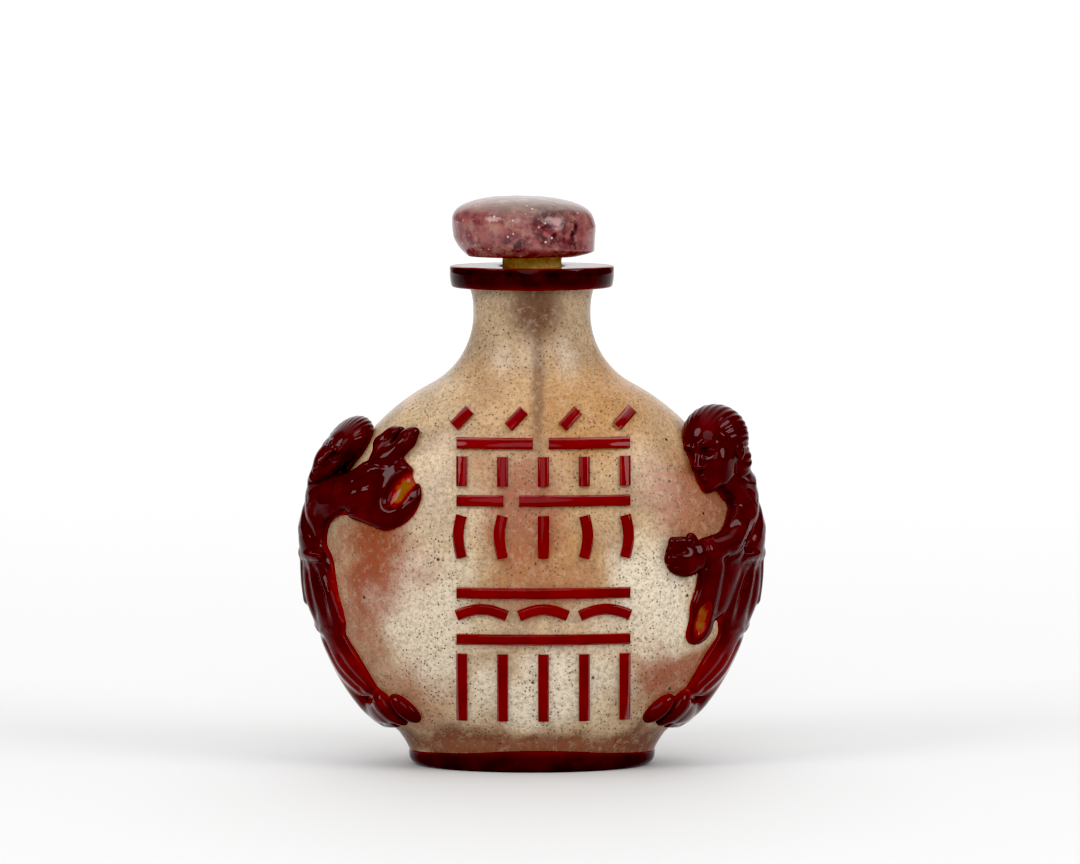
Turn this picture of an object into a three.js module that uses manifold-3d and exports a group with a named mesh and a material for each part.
// A snuff bottle of clear bubbled glass under a carved layer of ruby glass.
// Millimetres, +Z up. It stands on z = 0, centred on the Z axis, and its inscribed front faces -Y.
// One dancer is carved on each narrow side, +X and -X. The stopper rests in the neck.

import * as THREE from 'three';
import { mergeVertices } from 'three/addons/utils/BufferGeometryUtils.js';
import Module from 'manifold-3d';

// Body of the bottle
const BELLY_WIDTH = 47.4;        // across the round body, without the carving
const BELLY_DEPTH = 28.0;        // front to back
const NECK_WIDTH = 13.2;
const NECK_STRAIGHT = 2.95;      // the even stretch between the shoulder and the lip
const NECK_FLARE = 0.4;          // how far the neck widens just under the lip
const SHOULDER_FILLET = 9.0;     // radius of the hollow curve from shoulder to neck
const SHOULDER_DROP = 0.983;     // height of the upper body as a share of a true circle's
const WALL = 3.0;                // glass at the belly
const BORE = 6.9;                // inside of the neck
const FLOOR_THICKNESS = 3.8;

// Oval foot
const FOOT_WIDTH = 27.4;
const FOOT_HEIGHT = 1.9;         // the upright band
const FOOT_COVE = 1.78;          // height of the hollow between that band and the belly
const FOOT_FLARE = 1.25;         // how far the hollow spreads on each side
const COVE_MIDDLE = { wide: 0.68, up: 0.55 };  // shares of the spread and height, halfway up the hollow
const FOOT_ROUNDING = 1.15;      // lower edge
const FOOT_RIM = 2.2;            // width of the rim that the bottle stands on
const FOOT_RECESS = 1.0;         // hollow of the underside

// Ruby lip ring
const LIP_WIDTH = 18.3;
const LIP_THICKNESS = 2.4;
const LIP_TAPER = 0.55;          // how far its underside draws in
const LIP_ROUNDING = 0.3;

// Stopper
const CAP_WIDTH = 16.0;
const CAP_DEPTH = 15.4;
const CAP_HEIGHT = 6.7;
const CAP_LEAN = 0.05;           // how far its crown leans to the left, as a share of its width
const CAP_OFFSET = -0.8;         // the stone was set a little to the left of the cork
const CORK_SHOWING = 1.1;        // between the lip and the stone
const CORK_IN_NECK = 6.8;
const CORK_END_WIDTH = 4.4;
const CORK_CLEARANCE = 0.1;      // all round, where the cork meets the mouth
const SPOON_LENGTH = 34.0;       // below the cork
const SPOON_STEM = 0.9;
const SPOON_BOWL = { width: 3.0, length: 5.0, thickness: 0.8 };

// Carving
const STROKE_WIDTH = 1.25;
const STROKE_RELIEF = 0.85;
// The inscribed panel's size and place as shares of the belly's width
const INSCRIPTION = { height: 0.75, width: 0.43, right: 0.027, up: 0.02 };
const FIGURE_SPAN = 0.768;       // height of a dancer as a share of the belly's width
const ROOT_DEPTH = 0.8;          // how deep the carved forms reach into the wall they are fused with
const FIGURE_GRAIN = 0.0385;     // size of a figure's facets as a share of its height
const FIGURE_REACH = [46, 100, 13];  // the most it spreads across, up and out, in hundredths of its height

const ROUND = 36;                // facets round the bottle
const ROUND_INSIDE = 22;

// Worked out from the sizes above
const bellyRadius = BELLY_WIDTH / 2;
const neckRadius = NECK_WIDTH / 2;
const footRadius = FOOT_WIDTH / 2;
const coveRadius = footRadius + FOOT_FLARE;
const coveTop = FOOT_HEIGHT + FOOT_COVE;
const bellyHeight = coveTop + Math.sqrt(bellyRadius ** 2 - coveRadius ** 2);
const outer = shoulderOf(bellyRadius, neckRadius, SHOULDER_FILLET);
const inner = shoulderOf(bellyRadius - WALL, BORE / 2, neckRadius + SHOULDER_FILLET - BORE / 2);
const lipBottom = outer.top + NECK_STRAIGHT;
const bottleTop = lipBottom + LIP_THICKNESS;
const floorTop = FOOT_RECESS + FLOOR_THICKNESS;
const capBottom = bottleTop + CORK_SHOWING;
const figureHeight = BELLY_WIDTH * FIGURE_SPAN;
const figureUnit = figureHeight / 100;
const figureCell = [0.9, 1, 0.8].map((share) => share * FIGURE_GRAIN * figureHeight);

// The side of the bottle from above the foot: a circle of this radius, a hollow fillet, a straight neck.
// Above the belly's widest ring all heights are squashed a little.
function shoulderOf(radius, neck, fillet) {
  const rise = Math.sqrt((radius + fillet) ** 2 - (neck + fillet) ** 2);
  return { radius, neck, fillet, rise, tangent: rise * radius / (radius + fillet), top: heightOf(rise) };
}

function heightOf(rise) {
  return bellyHeight + rise * (rise > 0 ? SHOULDER_DROP : 1);
}

function halfWidth(side, z) {
  const rise = (z - bellyHeight) / (z > bellyHeight ? SHOULDER_DROP : 1);
  if (rise >= side.rise) return side.neck;
  if (rise <= side.tangent) return Math.sqrt(Math.max(side.radius ** 2 - rise ** 2, 0));
  return side.neck + side.fillet - Math.sqrt(side.fillet ** 2 - (side.rise - rise) ** 2);
}

// The section is an oval at the belly that grows round towards the neck.
function halfDepth(width, side = outer, depth = BELLY_DEPTH / 2) {
  return side.neck + (width - side.neck) * (depth - side.neck) / (side.radius - side.neck);
}

// Points of the body's surface. turn = 0 is the middle of a narrow side, a quarter turn is the front.
function onBody(side, turn, z) {
  const width = halfWidth(outer, z);
  return new THREE.Vector3(side * width * Math.cos(turn), -halfDepth(width) * Math.sin(turn), z);
}

function bodyNormal(side, turn, z) {
  const step = 1e-3;
  const round = onBody(side, turn + step, z).sub(onBody(side, turn - step, z));
  const up = onBody(side, turn, z + step).sub(onBody(side, turn, z - step));
  return up.cross(round).multiplyScalar(side).normalize();
}

// The angle at which the girth measured from the narrow side comes to a given length.
function turnAt(girth, z) {
  const width = halfWidth(outer, z);
  const depth = halfDepth(width);
  const steps = 24;
  let turn = 0;
  for (let i = 0; i < steps; i += 1) {
    const rate = Math.hypot(width * Math.sin(turn), depth * Math.cos(turn));
    turn += girth / steps / rate;
  }
  return turn;
}

// Closed surface through rings of equal count, with the first and last ring closed to a point.
function solidFromRings(rings, bottom, top) {
  const count = rings[0].length;
  const points = [bottom, ...rings.flat(), top];
  const index = [];
  const at = (ring, k) => 1 + ring * count + (k % count);
  for (let k = 0; k < count; k += 1) {
    index.push(0, at(0, k + 1), at(0, k));
    for (let ring = 0; ring + 1 < rings.length; ring += 1) {
      index.push(at(ring, k), at(ring, k + 1), at(ring + 1, k + 1));
      index.push(at(ring, k), at(ring + 1, k + 1), at(ring + 1, k));
    }
    index.push(points.length - 1, at(rings.length - 1, k), at(rings.length - 1, k + 1));
  }
  return geometryOf(points, index);
}

function geometryOf(points, index) {
  const geometry = new THREE.BufferGeometry();
  const numbers = points.flatMap((p) => [p.x, p.y, p.z]);
  geometry.setAttribute('position', new THREE.Float32BufferAttribute(numbers, 3));
  geometry.setIndex(index);
  return geometry;
}

function ovalRing(width, depth, z, count) {
  const ring = [];
  for (let k = 0; k < count; k += 1) {
    const turn = 2 * Math.PI * (k + 0.5) / count;
    ring.push(new THREE.Vector3(width * Math.cos(turn), depth * Math.sin(turn), z));
  }
  return ring;
}

// Joining and cutting
const library = await Module();
library.setup();

function toSolid(geometry) {
  const bare = geometry.clone();
  bare.deleteAttribute('normal');
  bare.deleteAttribute('uv');
  const merged = mergeVertices(bare, 1e-4);
  return new library.Manifold(new library.Mesh({
    numProp: 3,
    vertProperties: new Float32Array(merged.attributes.position.array),
    triVerts: new Uint32Array(merged.index.array),
  }));
}

function toGeometry(solid) {
  const mesh = solid.getMesh();
  const geometry = new THREE.BufferGeometry();
  geometry.setAttribute('position', new THREE.BufferAttribute(new Float32Array(mesh.vertProperties), 3));
  geometry.setIndex(new THREE.BufferAttribute(new Uint32Array(mesh.triVerts), 1));
  return geometry;
}

// The glass body

function outsideRings() {
  const rings = [];
  const add = (width, z) => rings.push(ovalRing(width, halfDepth(width), z, ROUND));
  add(footRadius - FOOT_RIM - FOOT_RECESS / 2, FOOT_RECESS);
  add(footRadius - FOOT_RIM, 0);
  for (const turn of [0, 0.34, 0.67, 1]) {
    const angle = turn * Math.PI / 2;
    add(footRadius - FOOT_ROUNDING * (1 - Math.sin(angle)), FOOT_ROUNDING * (1 - Math.cos(angle)));
  }
  add(footRadius, FOOT_HEIGHT);
  add(footRadius + FOOT_FLARE * COVE_MIDDLE.wide, FOOT_HEIGHT + FOOT_COVE * COVE_MIDDLE.up);
  arcRings(outer, Math.atan2(coveTop - bellyHeight, coveRadius), 13, 4, add);
  add(neckRadius, (outer.top + lipBottom) / 2);
  add(neckRadius + NECK_FLARE, lipBottom);
  add(LIP_WIDTH / 2 - LIP_TAPER, lipBottom);
  add(LIP_WIDTH / 2, lipBottom + LIP_THICKNESS * 0.55);
  add(LIP_WIDTH / 2 - LIP_ROUNDING / 2, bottleTop - LIP_ROUNDING);
  add(LIP_WIDTH / 2 - LIP_ROUNDING * 1.7, bottleTop);
  return rings;
}

// Rings up the belly circle from a start angle, then round the hollow shoulder to the neck.
function arcRings(side, start, bellySteps, shoulderSteps, add) {
  const end = Math.asin(side.tangent / side.radius);
  for (let i = 0; i <= bellySteps; i += 1) {
    const angle = start + (end - start) * i / bellySteps;
    add(side.radius * Math.cos(angle), heightOf(side.radius * Math.sin(angle)));
  }
  for (let i = 1; i <= shoulderSteps; i += 1) {
    const angle = end * (1 - i / shoulderSteps);
    const width = side.neck + side.fillet * (1 - Math.cos(angle));
    add(width, heightOf(side.rise - side.fillet * Math.sin(angle)));
  }
}

function insideRings() {
  const rings = [];
  const depth = BELLY_DEPTH / 2 - WALL;
  const add = (width, z) => rings.push(ovalRing(width, halfDepth(width, inner, depth), z, ROUND_INSIDE));
  arcRings(inner, Math.asin((floorTop - bellyHeight) / inner.radius), 8, 3, add);
  add(inner.neck, bottleTop + LIP_THICKNESS);
  return rings;
}

function bodySolid() {
  const axis = (z) => new THREE.Vector3(0, 0, z);
  const outside = toSolid(solidFromRings(outsideRings(), axis(FOOT_RECESS), axis(bottleTop)));
  const inside = toSolid(solidFromRings(insideRings(), axis(floorTop), axis(bottleTop + LIP_THICKNESS)));
  return outside.subtract(inside);
}

// Strokes of the inscription panel

// A stroke follows a path of points [x, z] on the front (face = 1) or the back (face = -1).
function strokeGeometry(path, face) {
  const half = STROKE_WIDTH / 2;
  const left = [];
  const right = [];
  path.forEach((point, i) => {
    const before = path[Math.max(i - 1, 0)];
    const after = path[Math.min(i + 1, path.length - 1)];
    const along = new THREE.Vector2(after[0] - before[0], after[1] - before[1]).normalize();
    const isEnd = i === 0 || i === path.length - 1;
    const outward = i === 0 ? -1 : 1;
    const push = (shift, spread) => {
      const x = point[0] + along.x * shift;
      const z = point[1] + along.y * shift;
      left.push([x - along.y * spread, z + along.x * spread]);
      right.push([x + along.y * spread, z - along.x * spread]);
    };
    if (!isEnd) push(0, half);
    if (i === 0) push(0, half * 0.5);
    if (isEnd) push(-outward * half * 0.5, half);
    if (i === path.length - 1) push(0, half * 0.5);
  });
  return prismOnBody(left, right, face);
}

// Height of the body's broad face over the XZ plane
function faceDepth(x, z) {
  const width = halfWidth(outer, z);
  return halfDepth(width) * Math.sqrt(Math.max(1 - (x / width) ** 2, 0));
}

// A closed band between two lines of equal count, sunk into the glass and raised above it
function prismOnBody(left, right, face) {
  const points = [];
  for (const rise of [-ROOT_DEPTH, STROKE_RELIEF]) {
    for (const [x, z] of [...left, ...right]) {
      points.push(new THREE.Vector3(face * x, -face * (faceDepth(x, z) + rise), z));
    }
  }
  const count = left.length;
  const top = 2 * count;
  const index = [];
  const quad = (a, b, c, d) => index.push(a, b, c, a, c, d);
  for (let k = 0; k + 1 < count; k += 1) {
    quad(k, k + 1, count + k + 1, count + k);
    quad(top + k, top + count + k, top + count + k + 1, top + k + 1);
    quad(k, top + k, top + k + 1, k + 1);
    quad(count + k, count + k + 1, top + count + k + 1, top + count + k);
  }
  quad(0, count, top + count, top);
  quad(count - 1, top + count - 1, top + 2 * count - 1, 2 * count - 1);
  const geometry = geometryOf(points, index);
  return signedVolume(geometry) > 0 ? geometry : flipped(geometry);
}

function signedVolume(geometry) {
  const position = geometry.attributes.position;
  const corner = (i) => new THREE.Vector3().fromBufferAttribute(position, geometry.index.getX(i));
  let volume = 0;
  for (let i = 0; i < geometry.index.count; i += 3) {
    volume += corner(i).dot(corner(i + 1).cross(corner(i + 2)));
  }
  return volume;
}

function flipped(geometry) {
  const index = Array.from(geometry.index.array);
  for (let i = 0; i < index.length; i += 3) [index[i], index[i + 1]] = [index[i + 1], index[i]];
  geometry.setIndex(index);
  return geometry;
}

// Rows of strokes on a panel of width 1 and height 1. x and z run from 0 to 1.
function bar(from, to, z, bow = 0) {
  const steps = bow ? 4 : Math.max(1, Math.round((to - from) * 4));
  return Array.from({ length: steps + 1 }, (_, i) => {
    const share = i / steps;
    return [from + (to - from) * share, z + bow * Math.sin(Math.PI * share)];
  });
}

function post(x, bottom, top, lean = 0, bow = 0) {
  const steps = bow ? 3 : Math.max(1, Math.round((top - bottom) * 9));
  return Array.from({ length: steps + 1 }, (_, i) => {
    const share = i / steps;
    return [x + lean * (share - 0.5) + bow * Math.sin(Math.PI * share), bottom + (top - bottom) * share];
  });
}

function rowOf(count, make) {
  return Array.from({ length: count }, (_, i) => make(0.03 + 0.94 * i / (count - 1), i));
}

const FRONT_ROWS = [
  ...rowOf(4, (x) => post(x, 0.935, 0.985, 0.09)),
  bar(0, 0.44, 0.885),
  bar(0.53, 1, 0.885),
  ...rowOf(5, (x) => post(x, 0.755, 0.845)),
  bar(0, 0.27, 0.71),
  bar(0.36, 1, 0.71),
  ...rowOf(5, (x, i) => post(x, 0.535, 0.665, 0, i < 2 ? -0.02 : 0.02 * Math.sign(i - 2))),
  bar(0, 1, 0.425),
  bar(0, 0.29, 0.355, 0.02),
  bar(0.36, 0.64, 0.355, 0.02),
  bar(0.71, 1, 0.355, 0.02),
  bar(0, 1, 0.28),
  ...rowOf(5, (x) => post(x, 0.02, 0.235)),
];

const BACK_ROWS = [
  bar(0.1, 0.9, 0.86),
  ...rowOf(3, (x) => post(x, 0.6, 0.79)),
  bar(0.1, 0.9, 0.5),
  ...rowOf(3, (x) => post(x, 0.2, 0.43)),
];

function inscription(rows, face) {
  const width = BELLY_WIDTH * INSCRIPTION.width - STROKE_WIDTH;
  const height = BELLY_WIDTH * INSCRIPTION.height;
  const left = BELLY_WIDTH * INSCRIPTION.right - width / 2;
  const bottom = bellyHeight + BELLY_WIDTH * INSCRIPTION.up - height / 2;
  return rows.map((path) => {
    const placed = path.map(([x, z]) => [left + width * x, bottom + height * z]);
    return toSolid(strokeGeometry(placed, face));
  });
}

// Dancers
// A dancer is drawn on the unrolled side of the body, in hundredths of its own height: [across, up, out].
// Across is positive towards the front. Out is measured from the surface of the glass.

function ball(centre, size) {
  const least = Math.min(...size);
  return (p) => {
    const k = Math.hypot(...p.map((v, i) => (v - centre[i]) / size[i]));
    return (k - 1) * least;
  };
}

// A rounded limb whose thickness runs from one radius to another. flat squeezes it towards the glass.
function limb(start, end, startRadius, endRadius, flat = 1) {
  const axis = end.map((v, i) => v - start[i]);
  const length = axis.reduce((sum, v) => sum + v * v, 0);
  return (p) => {
    const dot = p.reduce((sum, v, i) => sum + (v - start[i]) * axis[i], 0);
    const share = Math.min(Math.max(dot / length, 0), 1);
    const gap = p.map((v, i) => v - start[i] - axis[i] * share);
    gap[2] /= flat;
    return (Math.hypot(...gap) - startRadius - (endRadius - startRadius) * share) * Math.min(flat, 1);
  };
}

function groove(start, end, radius) {
  return limb(start, end, radius, radius);
}

function softJoin(a, b, softness) {
  const h = Math.max(softness - Math.abs(a - b), 0) / softness;
  return Math.min(a, b) - h * h * softness / 4;
}

const mirrored = (sign) => (point) => [point[0] * sign, point[1], point[2]];

// The arm that is thrown up, with curled fingers and a wide sleeve that swings out under it
function raisedArm(sign) {
  const m = mirrored(sign);
  return {
    add: [
      limb(m([6, 69, 1]), m([22, 77, 1.5]), 7, 6.5, 0.7),
      limb(m([22, 77, 1.5]), m([28.5, 87, 1.2]), 5.5, 4.5, 0.75),
      limb(m([28, 79, 0]), m([37, 71, 0]), 8, 7.5, 0.45),
      limb(m([17, 71, 0.5]), m([35, 69, 0.5]), 4.5, 4.5, 0.6),
    ],
    cut: [],
    knobs: [
      [m([21.5, 91.5, 1]), [2.8, 3.4, 2.8]],
      [m([29.3, 91, 1.2]), [3.4, 3.2, 3]],
    ],
  };
}

// The arm that is held low, with its fist at the waist and the sleeve falling from the cuff
function loweredArm(sign) {
  const m = mirrored(sign);
  return {
    add: [
      limb(m([10, 65, 1.5]), m([20, 58.5, 1.2]), 5, 4.8, 0.8),
      limb(m([20, 58.5, 1.2]), m([29, 56, 1]), 4.6, 4.6, 0.7),
      limb(m([25, 52, 0.6]), m([27, 40, 0.4]), 5, 4.6, 0.6),
      limb(m([27, 40, 0.4]), m([26, 33, 0.2]), 4.6, 5, 0.5),
    ],
    cut: [],
    knobs: [
      [m([33.5, 56.6, 1]), [5, 4.2, 3.2]],
      [m([38.5, 58.2, 0.6]), [3, 2.8, 2.8]],
    ],
  };
}

function leg(sign) {
  const m = mirrored(sign);
  return {
    add: [
      limb(m([7, 34, 0.3]), m([11, 22, 0.3]), 9.5, 8.5, 0.3),
      limb(m([11, 22, 0.3]), m([15.5, 12, 0.2]), 8.5, 5, 0.36),
      limb(m([1, 4.8, 1]), m([19, 9, 0.6]), 4.4, 4.2, 0.6),
    ],
    cut: [],
    knobs: [[m([25.5, 9, 0.2]), [3.8, 3, 2.6]]],
  };
}

function trunk() {
  return {
    add: [
      limb([1, 76, 3], [0, 60, 1.8], 9.5, 8.5, 0.7),
      limb([0, 60, 1.5], [1, 44, 0], 8.5, 12, 0.42),
      limb([-8, 50, 0], [-12, 38, 0], 8, 7, 0.42),
      limb([9, 50, 0], [15, 39, 0], 8, 7, 0.42),
      limb([0, 40, 0.3], [0, 10, 1.2], 9, 7, 0.34),
    ],
    cut: [
      groove([-14, 54.5, 4.3], [16, 54, 4.3], 1.0),
      groove([-6, 50, 4.6], [-9, 33, 3.8], 1.0),
      groove([4, 50, 5.2], [7, 33, 4], 1.0),
    ],
    knobs: [],
  };
}

function head(lean, up) {
  return {
    add: [
      ball([7.5, up, 2.6], [12.5, 12, 9.8]),
      ball([14 - lean, up - 6.5, 1.6], [8.5, 6.5, 6.4]),
      limb([8 - lean, up - 8, 2], [4, 72, 2], 6.5, 6.5, 0.8),
    ],
    cut: [],
    knobs: [],
  };
}

const RIGHT_DANCER = [trunk(), leg(1), leg(-1), loweredArm(1), raisedArm(-1), head(0, 87)];
const LEFT_DANCER = [trunk(), leg(1), leg(-1), raisedArm(1), loweredArm(-1), head(4, 84.6)];

// Signed distance to a dancer, in millimetres, from a place on the unrolled side
function dancerField(parts) {
  const softness = 1.6;
  const adds = parts.flatMap((part) => part.add);
  const cuts = parts.flatMap((part) => part.cut);
  return (across, up, out) => {
    const p = [across, up, out].map((v) => v / figureUnit);
    let value = adds.reduce((near, form) => softJoin(near, form(p), softness), 100);
    for (const form of cuts) value = Math.max(value, -form(p));
    return Math.max(value * figureUnit, -ROOT_DEPTH - out);
  };
}

// Net of facets over the zero surface of a field on a box of cubes, placed by a map into space.
function netOf(field, low, high, cell, place) {
  const counts = low.map((v, i) => Math.ceil((high[i] - v) / cell[i]) + 1);
  const at = (i, j, k) => (i * counts[1] + j) * counts[2] + k;
  const coordinate = (index, axis) => low[axis] + index * cell[axis];
  const values = new Float32Array(counts[0] * counts[1] * counts[2]);
  for (let i = 0; i < counts[0]; i += 1) {
    for (let j = 0; j < counts[1]; j += 1) {
      for (let k = 0; k < counts[2]; k += 1) {
        values[at(i, j, k)] = field(coordinate(i, 0), coordinate(j, 1), coordinate(k, 2));
      }
    }
  }
  const strides = [counts[1] * counts[2], counts[2], 1];
  fillPinches(values, strides);
  const corners = [];
  for (let n = 0; n < 8; n += 1) corners.push([n & 1, (n >> 1) & 1, n >> 2]);
  const edges = [];
  for (let a = 0; a < 8; a += 1) {
    for (const bit of [1, 2, 4]) if (!(a & bit)) edges.push([a, a | bit]);
  }
  const points = [];
  const vertexAt = new Map();
  for (let i = 0; i + 1 < counts[0]; i += 1) {
    for (let j = 0; j + 1 < counts[1]; j += 1) {
      for (let k = 0; k + 1 < counts[2]; k += 1) {
        const value = corners.map(([x, y, z]) => values[at(i + x, j + y, k + z)]);
        const crossing = edges.filter(([a, b]) => (value[a] < 0) !== (value[b] < 0));
        if (crossing.length === 0) continue;
        const mean = [0, 0, 0];
        for (const [a, b] of crossing) {
          const share = Math.min(Math.max(value[a] / (value[a] - value[b]), 0.05), 0.95);
          for (let axis = 0; axis < 3; axis += 1) {
            const along = (corners[b][axis] - corners[a][axis]) * share;
            mean[axis] += (corners[a][axis] + along) / crossing.length;
          }
        }
        vertexAt.set(at(i, j, k), points.length);
        points.push(place(...[i, j, k].map((index, axis) => coordinate(index + mean[axis], axis))));
      }
    }
  }
  const index = [];
  for (let i = 1; i + 1 < counts[0]; i += 1) {
    for (let j = 1; j + 1 < counts[1]; j += 1) {
      for (let k = 1; k + 1 < counts[2]; k += 1) {
        const here = at(i, j, k);
        for (let axis = 0; axis < 3; axis += 1) {
          const inside = values[here] < 0;
          if (inside === (values[here + strides[axis]] < 0)) continue;
          const u = strides[(axis + 1) % 3];
          const v = strides[(axis + 2) % 3];
          const quad = [here - u - v, here - v, here, here - u].map((cellIndex) => vertexAt.get(cellIndex));
          if (!inside) quad.reverse();
          index.push(quad[0], quad[1], quad[2], quad[0], quad[2], quad[3]);
        }
      }
    }
  }
  return geometryOf(points, index);
}

// Where only two opposite corners of a square lie inside, the net would pinch, so a third one is filled.
function fillPinches(values, strides) {
  const depth = -0.1;
  for (let changed = true; changed;) {
    changed = false;
    for (let n = 0; n < values.length - strides[0] - strides[1]; n += 1) {
      for (let axis = 0; axis < 3; axis += 1) {
        const u = strides[(axis + 1) % 3];
        const v = strides[(axis + 2) % 3];
        const square = [n, n + u, n + u + v, n + v];
        const inside = square.map((m) => values[m] < 0);
        if (inside[0] !== inside[2] || inside[1] !== inside[3] || inside[0] === inside[1]) continue;
        const outside = square.filter((m, k) => !inside[k]);
        values[values[outside[0]] < values[outside[1]] ? outside[0] : outside[1]] = depth;
        changed = true;
      }
    }
  }
}

function dancerSolid(parts, side) {
  const place = (across, up, out) => {
    const z = coveTop + up;
    const turn = turnAt(across, z);
    return onBody(side, turn, z).addScaledVector(bodyNormal(side, turn, z), out);
  };
  const knobs = parts.flatMap((part) => part.knobs).map(([centre, size]) => {
    const sphere = new THREE.IcosahedronGeometry(1, 1).deleteAttribute('normal').deleteAttribute('uv');
    const geometry = mergeVertices(sphere);
    const position = geometry.attributes.position;
    for (let i = 0; i < position.count; i += 1) {
      const onSphere = new THREE.Vector3().fromBufferAttribute(position, i).toArray();
      const p = onSphere.map((v, axis) => (centre[axis] + v * size[axis]) * figureUnit);
      const placed = place(...p);
      position.setXYZ(i, placed.x, placed.y, placed.z);
    }
    return toSolid(signedVolume(geometry) > 0 ? geometry : flipped(geometry));
  });
  const around = 2;  // empty cells on every side
  const reach = FIGURE_REACH.map((v) => v * figureUnit);
  const low = [-reach[0], 0, -ROOT_DEPTH].map((v, axis) => v - around * figureCell[axis]);
  const high = reach.map((v, axis) => v + around * figureCell[axis]);
  const geometry = netOf(dancerField(parts), low, high, figureCell, place);
  const figure = toSolid(signedVolume(geometry) > 0 ? geometry : flipped(geometry));
  return knobs.reduce((whole, knob) => whole.add(knob), figure);
}

function bottleGeometry() {
  const carving = [
    dancerSolid(RIGHT_DANCER, 1),
    dancerSolid(LEFT_DANCER, -1),
    ...inscription(FRONT_ROWS, 1),
    ...inscription(BACK_ROWS, -1),
  ];
  return toGeometry(carving.reduce((whole, piece) => whole.add(piece), bodySolid()));
}

// Stopper

// A polished pebble of stone, flat below, with a steep right side and a rounder left one.
function capGeometry() {
  const count = 26;
  const rings = [];
  const heights = [0, 0.06, 0.16, 0.3, 0.48, 0.68, 0.84, 0.94, 0.985];
  for (const height of heights) {
    const ring = [];
    for (let k = 0; k < count; k += 1) {
      const turn = 2 * Math.PI * (k + 0.5) / count;
      const rightness = (1 + Math.cos(turn)) / 2;
      const lower = 0.34 - 0.29 * rightness;
      const peak = 0.42 + 0.06 * Math.cos(turn);
      const below = Math.max(lower - height, 0) / lower;
      const above = Math.max(height - peak, 0) / (1 - peak);
      const spread = Math.sqrt(1 - (0.5 * below) ** 2) * (1 - 0.1 * below) * (1 - above ** 3.7) ** 0.5;
      ring.push(new THREE.Vector3(
        CAP_OFFSET + CAP_WIDTH / 2 * spread * Math.cos(turn) - CAP_WIDTH * CAP_LEAN * above,
        CAP_DEPTH / 2 * spread * Math.sin(turn),
        capBottom + CAP_HEIGHT * height,
      ));
    }
    rings.push(ring);
  }
  const bottom = new THREE.Vector3(CAP_OFFSET, 0, capBottom);
  const top = new THREE.Vector3(CAP_OFFSET - CAP_WIDTH * CAP_LEAN, 0, capBottom + CAP_HEIGHT);
  return solidFromRings(rings, bottom, top);
}

const corkBottom = bottleTop - CORK_IN_NECK;

function turned(profile, segments) {
  const geometry = new THREE.LatheGeometry(profile.map(([r, z]) => new THREE.Vector2(r, z)), segments);
  return geometry.rotateX(Math.PI / 2);
}

function corkGeometry() {
  const radius = BORE / 2 - CORK_CLEARANCE;
  return turned([
    [0, corkBottom],
    [CORK_END_WIDTH / 2, corkBottom],
    [radius, bottleTop],
    [radius, capBottom],
    [0, capBottom],
  ], 20);
}

function spoonGeometry() {
  const tip = corkBottom - SPOON_LENGTH;
  const bowlCentre = tip + SPOON_BOWL.length / 2;
  const bowl = new THREE.SphereGeometry(1, 10, 6);
  bowl.scale(SPOON_BOWL.width / 2, SPOON_BOWL.thickness / 2, SPOON_BOWL.length / 2);
  bowl.translate(0, 0, bowlCentre);
  const stemRadius = SPOON_STEM / 2;
  const stem = turned([
    [0, bowlCentre],
    [stemRadius * 0.6, bowlCentre],
    [stemRadius, corkBottom],
    [0, corkBottom],
  ], 8);
  return toGeometry(toSolid(bowl).add(toSolid(stem)));
}

// Assembly

function part(name, geometry, colour, roughness, metalness) {
  const material = new THREE.MeshStandardMaterial({ color: colour, roughness, metalness });
  const mesh = new THREE.Mesh(geometry, material);
  mesh.name = name;
  return mesh;
}

const snuffBottle = new THREE.Group();
snuffBottle.add(part('bottle', bottleGeometry(), '#b9805f', 0.15, 0));
snuffBottle.add(part('stopper_cap', capGeometry(), '#b97a80', 0.1, 0));
snuffBottle.add(part('cork', corkGeometry(), '#8a6420', 0.8, 0));
snuffBottle.add(part('spoon', spoonGeometry(), '#6b4a2a', 0.5, 0.8));

export default snuffBottle;
